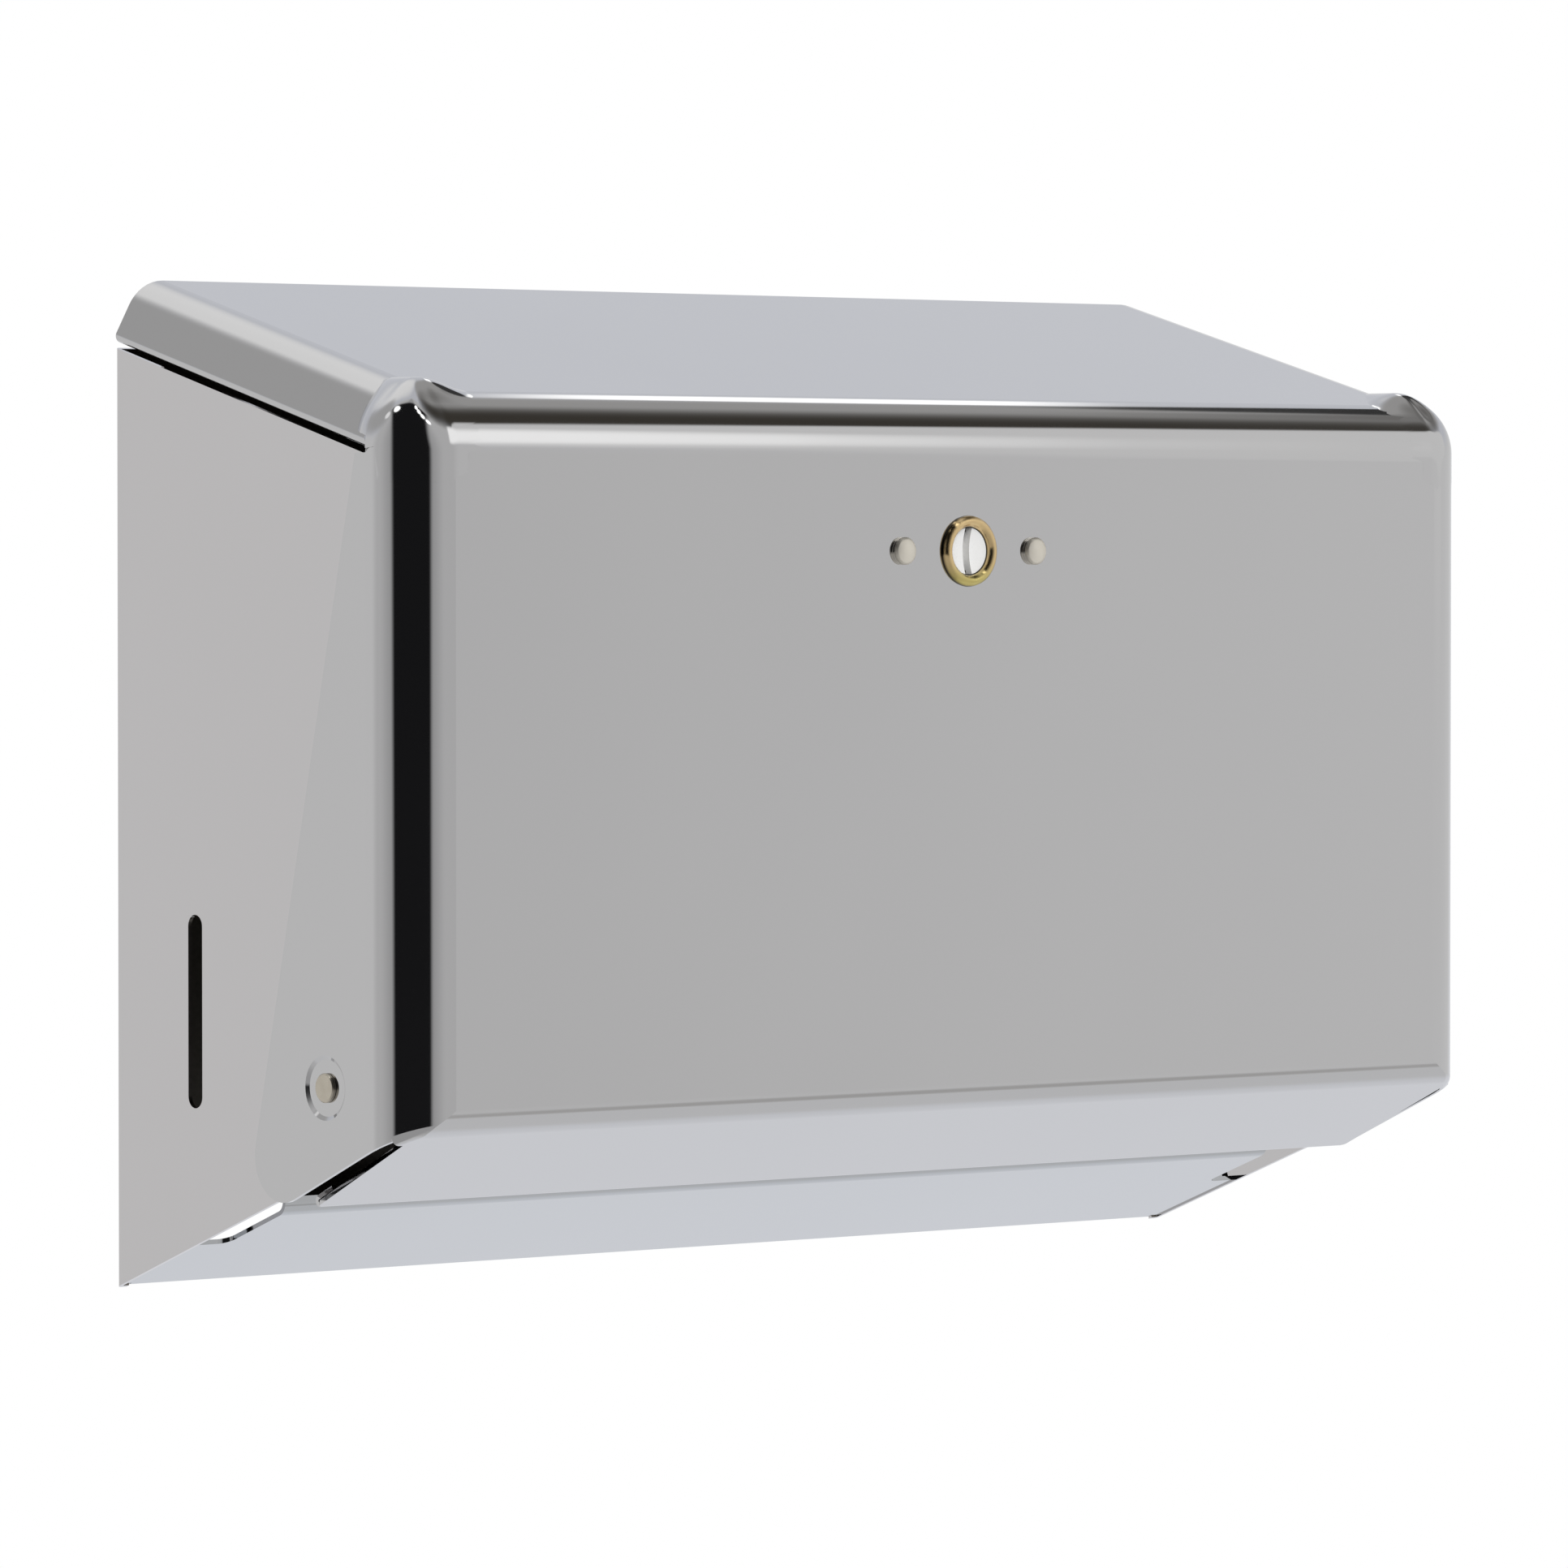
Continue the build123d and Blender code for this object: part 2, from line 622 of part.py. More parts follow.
# Hinge: a rivet on each side, fixed in the cabinet, on which the cover's dimples turn
hinge_floor = half_width - DIMPLE_DEPTH
hinge_floor_inner = hinge_floor - SHEET
spacer_thickness = hinge_floor_inner - side_outer - HINGE_END_PLAY


def hinge_rivet():
    head_base = hinge_floor + HINGE_END_PLAY
    head = along_x(HINGE_HEAD_RADIUS, head_base, head_base + HINGE_HEAD_HEIGHT)
    rim = head.edges().filter_by(GeomType.CIRCLE).sort_by(Axis.X)[-1]
    head = chamfer(rim, HINGE_RIM_CHAMFER)
    tail_base = side_inner - HINGE_WASHER_THICKNESS
    tail = along_x(HINGE_TAIL_RADIUS, tail_base, tail_base - HINGE_TAIL_HEIGHT)
    return head + along_x(HINGE_SHANK_RADIUS, head_base, tail_base) + tail


def hinge_ring(radius, x_from, x_to):
    ring = along_x(radius, x_from, x_to)
    return ring - along_x(HINGE_SHANK_RADIUS + RUNNING_CLEARANCE, x_from + 1, x_to - 1)


def hinge_spacer():
    return hinge_ring(HINGE_SPACER_RADIUS, side_outer + spacer_thickness, side_outer)


def rivet_washer():
    return hinge_ring(HINGE_WASHER_RADIUS, side_inner, side_inner - HINGE_WASHER_THICKNESS)


# Lock: depths are measured inwards from the cover's front face
plate_front = SHEET
plate_rear = plate_front + PLATE_THICKNESS
clinch_rear = plate_rear + BEZEL_CLINCH_THICKNESS
washer_front = clinch_rear + LOCK_STACK_GAP
cam_front = washer_front + SPRING_WASHER_THICKNESS
cam_rear = cam_front + CAM_THICKNESS
retainer_rear = cam_rear + RETAINER_THICKNESS
plug_rear = retainer_rear + PLUG_TAIL
plug_radius = BEZEL_BORE_RADIUS - PLUG_CLEARANCE


def turned(edges):
    """A round piece on the lock axis, from (radius, depth) edges."""
    return Pos(0, 0, lock_height) * revolve(make_face(edges), Axis.Y)


def at_depth(radius, depth):
    return (radius, front_y + depth)


def lock_bezel():
    ring_middle = (BEZEL_RADIUS + BEZEL_BORE_RADIUS) / 2
    ring_half = (BEZEL_RADIUS - BEZEL_BORE_RADIUS) / 2
    steps = [radians(180 * step / BEZEL_RING_STEPS) for step in range(BEZEL_RING_STEPS + 1)]
    ring = [at_depth(ring_middle + ring_half * cos(a), -BEZEL_HEIGHT * sin(a)) for a in steps]
    body = Polyline(
        *ring,
        at_depth(BEZEL_BORE_RADIUS, plate_rear),
        at_depth(BEZEL_STEP_RADIUS, plate_rear),
        at_depth(BEZEL_STEP_RADIUS, clinch_rear),
        at_depth(BEZEL_CLINCH_RADIUS, clinch_rear),
        at_depth(BEZEL_CLINCH_RADIUS, plate_rear),
        at_depth(BEZEL_BARREL_RADIUS, plate_rear),
        at_depth(BEZEL_BARREL_RADIUS, 0),
        close=True,
    )
    return turned(body)


def lock_square(size, depth_from, depth_to):
    length = depth_to - depth_from
    return Pos(0, front_y + (depth_from + depth_to) / 2, lock_height) * Box(size, length, size)


def lock_plug():
    head_rear = plate_rear - LOCK_STACK_GAP
    head = along_y(plug_radius, front_y - PLUG_FACE_PROUD, front_y + head_rear)
    shank = along_y(BEZEL_STEP_RADIUS - PLUG_CLEARANCE, front_y + head_rear, front_y + washer_front)
    plug = head + shank + lock_square(PLUG_SQUARE, washer_front, plug_rear)
    dish_y = front_y - PLUG_FACE_PROUD + PLUG_DISH_DEPTH - PLUG_DISH_RADIUS
    plug -= Pos(0, dish_y, lock_height) * Sphere(PLUG_DISH_RADIUS)
    slot_y = front_y - PLUG_FACE_PROUD + PLUG_SLOT_DEPTH / 2
    plug -= Pos(0, slot_y, lock_height) * Box(PLUG_SLOT_WIDTH, PLUG_SLOT_DEPTH, 2 * BEZEL_BORE_RADIUS)
    return plug


def square_hole(depth_from, depth_to):
    return lock_square(PLUG_SQUARE + 2 * SQUARE_CLEARANCE, depth_from - 1, depth_to + 1)


def lock_spring_washer():
    ring = along_y(SPRING_WASHER_RADIUS, front_y + washer_front, front_y + cam_front)
    return ring - square_hole(washer_front, cam_front)


def lock_cam():
    middle_y = front_y + (cam_front + cam_rear) / 2
    boss = along_y(CAM_BOSS_RADIUS, front_y + cam_front, front_y + cam_rear)
    reach = CAM_REACH - CAM_HALF_WIDTH
    tongue = Pos(-reach / 2, middle_y, lock_height) * Box(reach, CAM_THICKNESS, 2 * CAM_HALF_WIDTH)
    nose = along_y(CAM_HALF_WIDTH, front_y + cam_front, front_y + cam_rear, -reach)
    return boss + tongue + nose - square_hole(cam_front, cam_rear)


def cam_retainer():
    ring = along_y(RETAINER_RADIUS, front_y + cam_rear, front_y + retainer_rear)
    return ring - square_hole(cam_rear, retainer_rear)


def lock_plate():
    middle_y = front_y + (plate_front + plate_rear) / 2
    plate = Pos(0, middle_y, lock_height) * Box(PLATE_LENGTH, PLATE_THICKNESS, PLATE_HEIGHT)
    plate -= along_y(BEZEL_BARREL_RADIUS + RUNNING_CLEARANCE, front_y, front_y + plate_rear + 1)
    for x in (-LOCK_RIVET_OFFSET, LOCK_RIVET_OFFSET):
        plate -= along_y(LOCK_RIVET_SHANK + RUNNING_CLEARANCE, front_y, front_y + plate_rear + 1, x)
    return plate


def lock_rivet(x):
    body = Polyline(
        at_depth(LOCK_RIVET_HEAD, 0),
        at_depth(LOCK_RIVET_HEAD, LOCK_RIVET_EDGE - LOCK_RIVET_HEAD_HEIGHT),
        at_depth(LOCK_RIVET_HEAD - LOCK_RIVET_EDGE, -LOCK_RIVET_HEAD_HEIGHT),
        at_depth(0, -LOCK_RIVET_HEAD_HEIGHT),
        at_depth(0, plate_rear + LOCK_RIVET_TAIL_HEIGHT),
        at_depth(LOCK_RIVET_TAIL, plate_rear + LOCK_RIVET_TAIL_HEIGHT),
        at_depth(LOCK_RIVET_TAIL, plate_rear),
        at_depth(LOCK_RIVET_SHANK, plate_rear),
        at_depth(LOCK_RIVET_SHANK, 0),
        close=True,
    )
    return Pos(x, 0, 0) * turned(body)


# Tie bar: a strap across the open front of the cabinet, which the lock's cam turns behind
def tie_bar():
    rear_y = front_y + cam_front - TIE_BAR_CAM_GAP
    bar_front = rear_y - SHEET
    tab_rear = bar_front + TIE_BAR_BEND_RADIUS + TIE_BAR_TAB_LENGTH

    def strap(half, front, radius):
        block = Pos(0, (front + tab_rear) / 2, 0) * Box(2 * half, tab_rear - front, TIE_BAR_HEIGHT)
        return fillet(block.edges().filter_by(Axis.Z).group_by(Axis.Y)[0], radius)

    outer = strap(side_inner, bar_front, TIE_BAR_BEND_RADIUS)
    inner = strap(side_inner - SHEET, rear_y, TIE_BAR_BEND_RADIUS - SHEET)
    open_back = Pos(0, tab_rear, 0) * Box(2 * (side_inner - SHEET), 1, TIE_BAR_HEIGHT)
    height = lock_height + TIE_BAR_ABOVE_LOCK + TIE_BAR_HEIGHT / 2
    return Pos(0, 0, height) * (outer - inner - open_back)


def save(name, solid):
    """Write one piece, with the centre of the wall holes as the origin."""
    moved = Pos(0, 0, -HOLE_CENTRE_HEIGHT) * solid
    export_step(moved, os.path.join("parts", name + ".step"))


os.makedirs("parts", exist_ok=True)
pieces = {
    "cabinet_shell": cabinet_shell(),
    "bottom_tray": bottom_tray(),
    "tie_bar": tie_bar(),
    "front_cover": front_cover(),
    "lock_plate": lock_plate(),
    "lock_bezel": lock_bezel(),
    "lock_plug": lock_plug(),
    "lock_spring_washer": lock_spring_washer(),
    "lock_cam": lock_cam(),
    "cam_retainer": cam_retainer(),
    "left_lock_rivet": lock_rivet(-LOCK_RIVET_OFFSET),
    "right_lock_rivet": lock_rivet(LOCK_RIVET_OFFSET),
}
for side in ("left", "right"):
    for name, piece in (
        ("hinge_rivet", hinge_rivet()),
        ("hinge_spacer", hinge_spacer()),
        ("rivet_washer", rivet_washer()),
    ):
        pieces[side + "_" + name] = piece if side == "right" else mirror(piece, Plane.YZ)
for name, piece in pieces.items():
    save(name, piece)
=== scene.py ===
import json
from math import cos, radians, sin, tan

import bmesh
import bpy
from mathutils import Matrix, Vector
from mathutils.bvhtree import BVHTree


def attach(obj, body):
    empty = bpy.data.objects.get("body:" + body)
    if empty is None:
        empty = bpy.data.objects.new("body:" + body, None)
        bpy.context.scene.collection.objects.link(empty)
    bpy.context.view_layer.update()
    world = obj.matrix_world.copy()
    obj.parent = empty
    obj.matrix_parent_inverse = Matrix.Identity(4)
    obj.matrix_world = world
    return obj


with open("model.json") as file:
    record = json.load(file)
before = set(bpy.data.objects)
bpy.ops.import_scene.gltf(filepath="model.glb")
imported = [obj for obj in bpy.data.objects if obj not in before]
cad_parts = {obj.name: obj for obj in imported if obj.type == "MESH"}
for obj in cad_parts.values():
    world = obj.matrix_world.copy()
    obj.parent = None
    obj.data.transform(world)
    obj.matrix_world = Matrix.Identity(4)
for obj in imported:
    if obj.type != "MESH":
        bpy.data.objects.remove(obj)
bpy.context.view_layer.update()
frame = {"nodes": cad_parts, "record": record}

# Camera: places in metres in the part's frame, with the wall at Y = 0; sensor and lens in millimetres
CAMERA_PLACE = (-1.21039, -1.45802, 0.04966)
CAMERA_LOOK = (0.6491, 0.76027, -0.02583)
CAMERA_REACH = 20.0
SENSOR_WIDTH = 36.0
CAMERA_LENS = 202.14

# Places on the part that the materials use, in metres, and the bottom's slope in degrees
BOX_MIDDLE = (0.0, -0.05, 0.0)
BOTTOM_HEIGHT = -0.1
BOTTOM_SLOPE = 20.7
FRONT_PLACE = -0.099
LOCK_HEIGHT = 0.0508
LOCK_RIVET_OFFSET = 0.018

# Where a face counts as looking into the box or upward, and the strip along the sides' lower edge in metres
INSIDE_FACING = (0.0, 0.002)
UPWARD_FACING = (0.3, 0.6)
EDGE_STRIP = (0.010, 0.024)

# Plated sheet: darker and lighter colour of each piece
COVER_PLATE = ((0.552, 0.549, 0.550, 1), (0.579, 0.576, 0.577, 1))
CABINET_PLATE = ((0.585, 0.573, 0.574, 1), (0.615, 0.602, 0.603, 1))
BAR_PLATE = ((0.545, 0.55, 0.555, 1), (0.575, 0.578, 0.58, 1))
TRAY_PLATE = ((0.49, 0.502, 0.515, 1), (0.518, 0.528, 0.539, 1))
# Faces that look into the box: rough dull steel, its dark colour painted shade
DULL_STEEL_PAINTED_SHADE = ((0.17, 0.155, 0.135, 1.0), (0.25, 0.235, 0.21, 1.0))

# Plated sheet: scale and detail of its patterns, roughness, and strength and height of its faint waves
PLATE_CLOUDS = (9.0, 4.0)
PLATE_GRAIN = (900.0, 2.0)
PLATE_WAVES = (14.0, 1.0)
PLATE_ROUGHNESS = (0.05, 0.085)
DULL_ROUGHNESS = 0.36
WAVE_RELIEF = (0.10, 0.0010)

# Small metal pieces: lighter and darker colour, least and most roughness, scale of the spots, relief
LOCK_RIVET_METAL = ((0.90, 0.86, 0.77, 1), (0.84, 0.79, 0.69, 1), 0.18, 0.26, 500.0, 0.05)
HINGE_RIVET_METAL = ((0.56, 0.52, 0.44, 1), (0.50, 0.45, 0.37, 1), 0.24, 0.36, 420.0, 0.10)
ZINC_METAL = ((0.58, 0.59, 0.60, 1), (0.44, 0.45, 0.47, 1), 0.28, 0.42, 220.0, 0.15)
SPOT_PATTERN = (4.0, 0.6)
SPOT_HEIGHT = 0.0002
PATTERN_SPREAD = (0.3, 0.7)

# Softened edges, in metres
EDGE_ROUNDING = 0.0002
LOCK_RIVET_ROUNDING = 0.0003
RING_ROUNDING = 0.0008
ROUNDING_SAMPLES = 6

# Lock rivets: radius of the dome and the height where the frosted head starts, in metres, and its roughness
LOCK_RIVET_DOME = 0.006
LOCK_RIVET_FOOT = (0.00035, 0.0007)
LOCK_RIVET_FROST = 0.55

# Lock ring: colours, then the heights in metres of its olive part and of the painted shade in the crease at
# its foot
RING_GOLD = ((0.80, 0.62, 0.33, 1.0), (0.68, 0.48, 0.24, 1.0))
RING_OLIVE = (0.56, 0.49, 0.16, 1.0)
# Colour of the painted shade in the crease at the ring's foot
PAINTED_CREASE_SHADE = (0.05, 0.04, 0.025, 1.0)
RING_SPOTS = 320.0
RING_RELIEF = 0.06
RING_ROUGHNESS = (0.09, 0.18)
OLIVE_HEIGHT = (-0.0065, -0.0015)
OLIVE_SHARE = 0.8
PAINTED_SHADE_HEIGHT = (0.0001, 0.0006)

# White plastic: colours, patterns, roughness and relief
PLASTIC_WHITE = ((0.80, 0.79, 0.77, 1.0), (0.88, 0.88, 0.87, 1.0))
PLASTIC_TONE = (250.0, 3.0)
PLASTIC_GRAIN = (2500.0, 2.0)
PLASTIC_ROUGHNESS = (0.26, 0.38)
PLASTIC_RELIEF = (0.08, 0.0001)
PLASTIC_INDEX = 1.49

# Raised caps that the draw leaves on the two upper front corners, in metres and degrees
CAP_CENTRE = (0.13495, -0.0863, 0.07013)
CAP_RADIUS = 0.0127
CAP_PROUD = 0.00003
CAP_RIM = CAP_RADIUS + CAP_PROUD
CAP_END_DIP = 0.0001
CAP_RISE = 0.00235
CAP_RISE_LIFT = (48.0, 85.0)
CAP_FRONT_SHIFT = 0.0017
CAP_FRONT_TURN = (8.0, 45.0)
CAP_SIDE_SHIFT = 0.0009
CAP_SIDE_TURN = (60.0, 90.0)
CAP_REACH = 0.011
CAP_REAR_RADIUS = 0.0102
CAP_SKIRT = (-0.0075, -0.004, -0.0015)
CAP_SKIRT_END = 76.0
CAP_BURIED = 0.00035
CAP_THICKNESS = 0.00045
CAP_RIM_ANGLE = 40.0
SLIT_FRONT = 0.0062
SLIT_HEIGHT = 0.0016
TOP_SLOPE = 15.0

# Mesh of the caps: counts, the step and bounds in degrees of the search for an end, and merging distances
CAP_STRIP_COLUMNS = 14
CAP_BALL_COLUMNS = 24
CAP_ROWS = 24
SEARCH_STEP = 0.5
SEARCH_REAR_END = 150.0
SEARCH_SIDE_START = 88.0
CREST_MARGIN = 1.0
MERGE_DISTANCE = 0.00002
SLIVER_LENGTH = 0.00001

# Floor, in metres
FLOOR_HEIGHT = -0.32
FLOOR_RADIUS = 1.1
FLOOR_SIDES = 96
FLOOR_COLOUR = (0.86, 0.89, 0.94, 1.0)
FLOOR_GLOW = 0.95
FLOOR_PATTERN = (2.0, 2.0)
FLOOR_TONE = 0.05

# Soft light from the front, in metres and watts, which the metal doesn't mirror
KEY_PLACE = (-0.55, -1.25, 0.75)
KEY_SIZE = 0.8
KEY_POWER = 14.0

# Room seen in the metal: colours, and between which sines of the height one gives way to the next
ROOM_LEVEL = (0.795, 0.795, 0.798, 1.0)
ROOM_BELOW = (0.77, 0.775, 0.79, 1.0)
ROOM_ABOVE = (0.71, 0.727, 0.778, 1.0)
ROOM_DARK = (0.012, 0.012, 0.013, 1.0)
BACKDROP_WHITE = (1.0, 1.0, 1.0, 1.0)
BELOW_TO_LEVEL = (-0.6, -0.15)
LEVEL_TO_ABOVE = (0.1, 0.4)

# Dark upright screen round the camera: bearing and half widths in degrees, near side and foot as sines
SCREEN_BEARING = -46.5
SCREEN_INNER = 31.0
SCREEN_OUTER = 40.5
SCREEN_NEAR = (0.14, 0.22)
SCREEN_FOOT = (-0.20, -0.13)

# Dimmer walls beside the screen: bearing, inner and outer half angle in degrees, brightness
ROOM_WALLS = (
    (-40.0, 71.0, 86.5, (0.655, 0.655, 0.658, 1.0)),
    (-46.5, 32.0, 62.0, (0.47, 0.47, 0.475, 1.0)),
)

# Soft round cards: bearing from straight ahead, height, inner and outer half angle in degrees, brightness
ROOM_CARDS = (
    (129.0, -33.0, 22.0, 42.0, (0.865, 0.88, 0.925, 1.0)),
    (172.0, 56.0, 8.0, 30.0, (1.05, 1.05, 1.05, 1.0)),
    (-138.0, 38.7, 11.0, 27.0, (0.52, 0.52, 0.52, 1.0)),
    (97.0, 50.0, 12.0, 24.0, (0.46, 0.455, 0.45, 1.0)),
    (60.0, 46.0, 2.0, 27.0, (0.06, 0.054, 0.046, 1.0)),
    (60.0, 20.0, 18.9, 21.6, (0.84, 0.84, 0.84, 1.0)),
    (46.0, -24.0, 1.0, 8.0, (0.55, 0.545, 0.54, 1.0)),
)

# Cards cut off to the left and right: as above, then the place across and its inner and outer reach
ROOM_STRIPS = (
    (95.3, 33.5, 11.5, 14.5, (0.22, 0.215, 0.21, 1.0), 0.70, 0.04, 0.06),
    (107.5, 29.5, 13.2, 14.5, (0.05, 0.05, 0.05, 1.0), 0.70, 0.04, 0.06),
    (35.5, 25.5, 8.0, 15.5, (1.38, 1.38, 1.38, 1.0), 0.56, 0.075, 0.135),
    (126.0, 36.0, 4.0, 8.0, (1.8, 1.8, 1.8, 1.0), 0.65, 0.016, 0.030),
)

# Small lamps in front of the screen, given as the cards are
ROOM_LAMPS = (
    (-102.0, 58.5, 4.0, 7.0, (2.4, 2.4, 2.4, 1.0)),
    (-3.0, 68.0, 2.5, 5.0, (2.4, 2.4, 2.4, 1.0)),
    (1.0, 60.0, 2.5, 5.5, (2.4, 2.4, 2.4, 1.0)),
    (5.0, 52.0, 2.5, 5.0, (2.4, 2.4, 2.4, 1.0)),
    (11.0, 44.0, 2.0, 4.5, (2.4, 2.4, 2.4, 1.0)),
    (-119.0, 43.0, 3.0, 7.0, (1.15, 1.15, 1.15, 1.0)),
)


def heading(bearing, height):
    """Direction at a bearing from straight ahead of the front, positive to the right, and a height."""
    level = cos(radians(height))
    return (sin(radians(bearing)) * level, -cos(radians(bearing)) * level, sin(radians(height)))


class Nodes:
    """A small helper that adds nodes to one node tree."""

    def __init__(self, tree):
        self.tree = tree
        tree.nodes.clear()

    def add(self, kind, inputs=None, **settings):
        node = self.tree.nodes.new(kind)
        for name, value in settings.items():
            setattr(node, name, value)
        for name, value in (inputs or {}).items():
            self.feed(node, name, value)
        return node

    def feed(self, node, name, value):
        socket = node.inputs[name]
        if isinstance(value, bpy.types.NodeSocket):
            self.tree.links.new(value, socket)
        else:
            socket.default_value = value

    def mix(self, amount, first, second):
        """A mix of two colours, whose sockets are numbered because several share a name."""
        node = self.add("ShaderNodeMix", data_type="RGBA")
        self.feed(node, 0, amount)
        self.feed(node, 6, first)
        self.feed(node, 7, second)
        return node.outputs[2]

    def math(self, operation, first, second=0.0):
        node = self.add("ShaderNodeMath", operation=operation)
        self.feed(node, 0, first)
        self.feed(node, 1, second)
        return node.outputs[0]

    def vector(self, operation, first, second=(0.0, 0.0, 0.0)):
        node = self.add("ShaderNodeVectorMath", operation=operation)
        self.feed(node, 0, first)
        self.feed(node, 1, second)
        return node.outputs["Value" if operation == "DOT_PRODUCT" else "Vector"]

    def dot(self, first, second):
        return self.vector("DOT_PRODUCT", first, second)

    def ramp(self, value, low, high, out_low=0.0, out_high=1.0):
        node = self.add("ShaderNodeMapRange", interpolation_type="SMOOTHSTEP")
        self.feed(node, 0, value)
        self.feed(node, 1, low)
        self.feed(node, 2, high)
        self.feed(node, 3, out_low)
        self.feed(node, 4, out_high)
        return node.outputs[0]

    def noise(self, place, scale, detail, roughness=0.5):
        node = self.add("ShaderNodeTexNoise")
        self.feed(node, "Vector", place)
        self.feed(node, "Scale", scale)
        self.feed(node, "Detail", detail)
        self.feed(node, "Roughness", roughness)
        return node.outputs["Fac"]

    def bump(self, height, strength, distance):
        node = self.add("ShaderNodeBump")
        self.feed(node, "Height", height)
        self.feed(node, "Strength", strength)
        self.feed(node, "Distance", distance)
        return node

    def soft_bump(self, height, strength, distance, rounding):
        """Relief on top of edges that are rounded by a radius."""
        soft_edge = self.add("ShaderNodeBevel", {"Radius": rounding}, samples=ROUNDING_SAMPLES)
        node = self.bump(height, strength, distance)
        self.feed(node, "Normal", soft_edge.outputs[0])
        return node


def new_material(name):
    material = bpy.data.materials.new(name)
    material.use_nodes = True
    return material, Nodes(material.node_tree)


def surface(nodes, shader):
    output = nodes.add("ShaderNodeOutputMaterial")
    nodes.feed(output, "Surface", shader)


# Materials
def inside_mask(n, coords):
    """1 on the faces that look into the box, which get painted shade, but 0 on the lowest strip of the sides'
    inner faces.
    """
    place = coords.outputs["Object"]
    facing = n.dot(coords.outputs["Normal"], n.vector("SUBTRACT", BOX_MIDDLE, place))
    inside = n.ramp(facing, *INSIDE_FACING)
    above_edge = n.math("SUBTRACT", n.dot(place, (0.0, tan(radians(BOTTOM_SLOPE)), 1.0)), BOTTOM_HEIGHT)
    sideways = n.math("ABSOLUTE", n.dot(coords.outputs["Normal"], (1.0, 0.0, 0.0)))
    lit = n.math("MULTIPLY", sideways, n.ramp(above_edge, *EDGE_STRIP, 1.0, 0.0))
    return n.math("MULTIPLY", inside, n.math("SUBTRACT", 1.0, lit))


def upward_mask(n, coords):
    """1 on the faces that look up into the box, which get painted shade."""
    return n.ramp(n.dot(coords.outputs["Normal"], (0.0, 0.0, 1.0)), *UPWARD_FACING)


def plated_sheet(name, dark, light, mask):
    """Bright chromium plate outside; rough dull steel on the faces that look into the box, darkened there as
    painted shade.
    """
    material, n = new_material(name)
    coords = n.add("ShaderNodeTexCoord")
    place = coords.outputs["Object"]
    inside = mask(n, coords)
    clouds = n.noise(place, *PLATE_CLOUDS)
    bright = n.mix(clouds, dark, light)
    # Dark steel on the inside faces: painted shade for the inside of the box
    dull_painted_shade = n.mix(n.noise(place, *PLATE_GRAIN), *DULL_STEEL_PAINTED_SHADE)
    polish = n.ramp(clouds, *PATTERN_SPREAD, *PLATE_ROUGHNESS)
    rough = n.math("ADD", polish, n.math("MULTIPLY", inside, DULL_ROUGHNESS))
    waves = n.bump(n.noise(place, *PLATE_WAVES), *WAVE_RELIEF)
    shader = n.add("ShaderNodeBsdfPrincipled", {"Metallic": 1.0, "Roughness": rough})
    n.feed(shader, "Base Color", n.mix(inside, bright, dull_painted_shade))
    n.feed(shader, "Normal", waves.outputs["Normal"])
    surface(n, shader.outputs[0])
    return material


def rivet_dome(n, place):
    """Height of a low dome on the heads of the two lock rivets."""
    parts = n.add("ShaderNodeSeparateXYZ", {0: place})
    across = n.math("SUBTRACT", n.math("ABSOLUTE", parts.outputs[0]), LOCK_RIVET_OFFSET)
    upward = n.math("SUBTRACT", parts.outputs[2], LOCK_HEIGHT)
    squared = n.math("ADD", n.math("MULTIPLY", across, across), n.math("MULTIPLY", upward, upward))
    return n.math("MULTIPLY", squared, -0.5 / LOCK_RIVET_DOME)


def plain_metal(name, light, dark, shine, rough, scale, relief, dome=None, rounding=EDGE_ROUNDING):
    """A small metal piece with a mottled plate and softened edges, domed and frosted if a dome is given."""
    material, n = new_material(name)
    place = n.add("ShaderNodeTexCoord").outputs["Object"]
    spots = n.noise(place, scale, *SPOT_PATTERN)
    finish = n.soft_bump(spots, relief, SPOT_HEIGHT, rounding).outputs["Normal"]
    polish = n.ramp(spots, *PATTERN_SPREAD, shine, rough)
    if dome:
        raised = n.bump(dome(n, place), 1.0, 1.0)
        n.feed(raised, "Normal", finish)
        finish = raised.outputs["Normal"]
        proud = n.math("SUBTRACT", FRONT_PLACE, n.dot(place, (0.0, 1.0, 0.0)))
        polish = n.math("MAXIMUM", polish, n.ramp(proud, *LOCK_RIVET_FOOT, 0.0, LOCK_RIVET_FROST))
    shader = n.add("ShaderNodeBsdfPrincipled", {"Metallic": 1.0})
    n.feed(shader, "Base Color", n.mix(spots, light, dark))
    n.feed(shader, "Roughness", polish)
    n.feed(shader, "Normal", finish)
    surface(n, shader.outputs[0])
    return material


